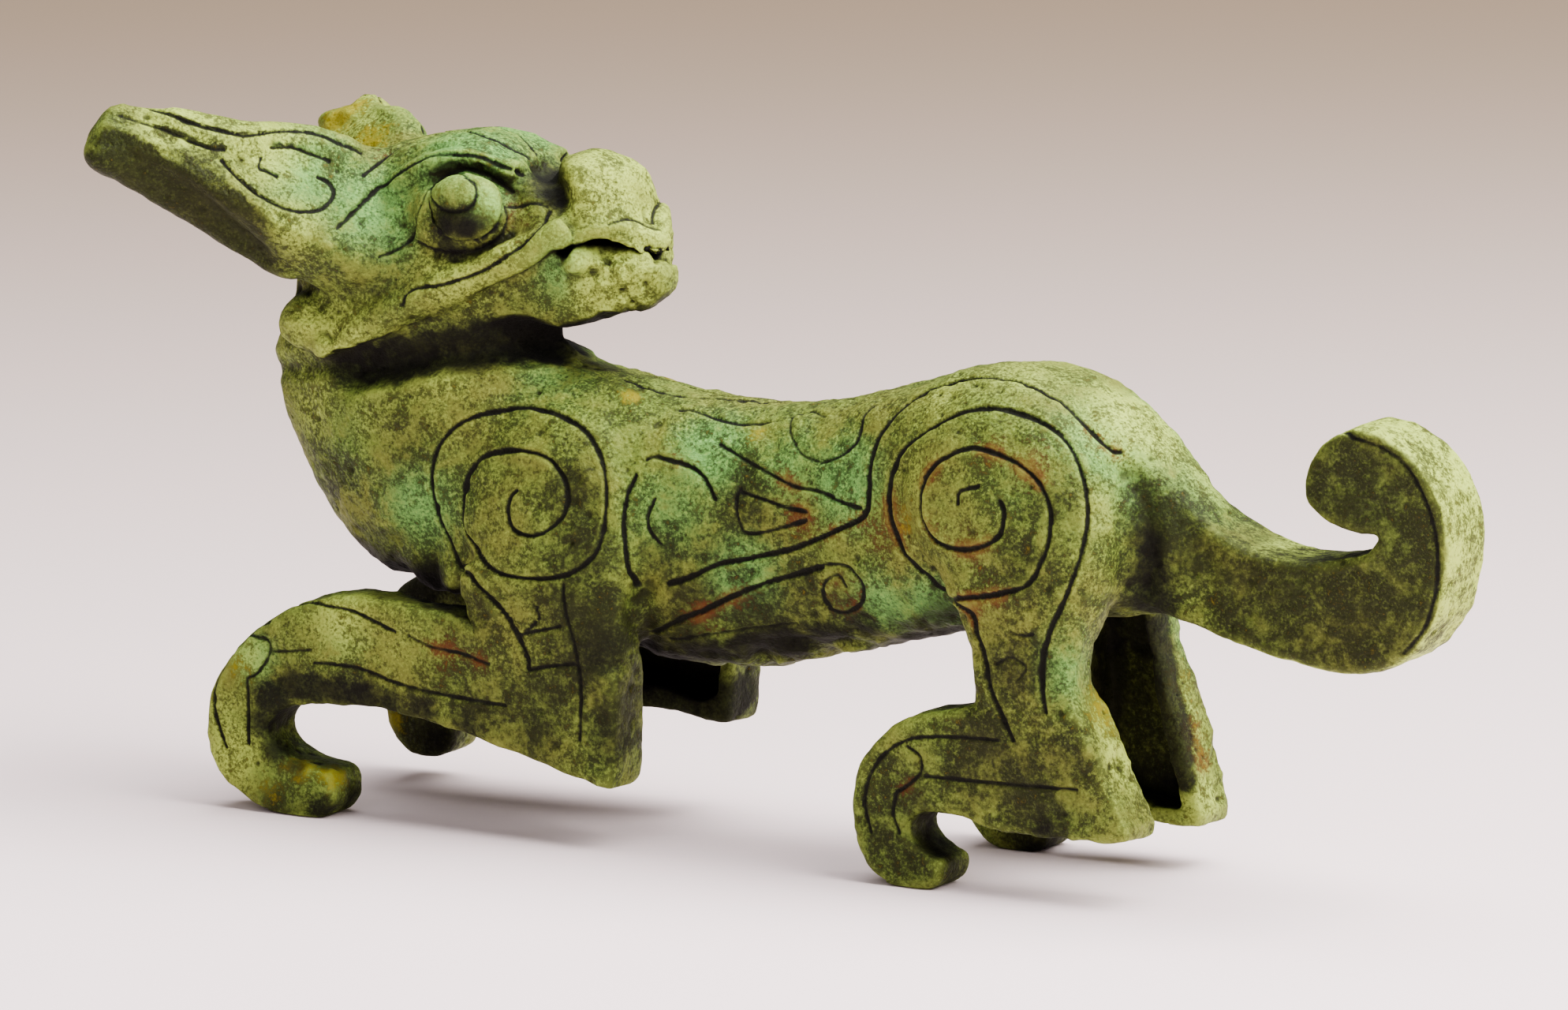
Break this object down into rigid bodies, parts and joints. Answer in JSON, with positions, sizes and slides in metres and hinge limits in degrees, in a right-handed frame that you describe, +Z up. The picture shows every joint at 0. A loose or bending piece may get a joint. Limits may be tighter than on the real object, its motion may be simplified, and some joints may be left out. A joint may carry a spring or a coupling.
{
  "type": "crouching beast fitting",
  "caption": "Cast bronze crouching beast with its head turned back, curled tail and hooked claws; an ornament that stands on its claws or was fixed to a vessel.",
  "frame": {"origin": "middle of the bounding box's footprint, on the floor under the claws", "axes": "+X from the chest towards the tail, +Y towards the beast's right side, +Z up"},
  "size_m": [0.2792, 0.0784, 0.1373],
  "materials": {
    "patinated_bronze": "matte green patina over cast bronze"
  },
  "bodies": {
    "root": {"bronze_beast": "patinated_bronze"}
  },
  "joints": []
}
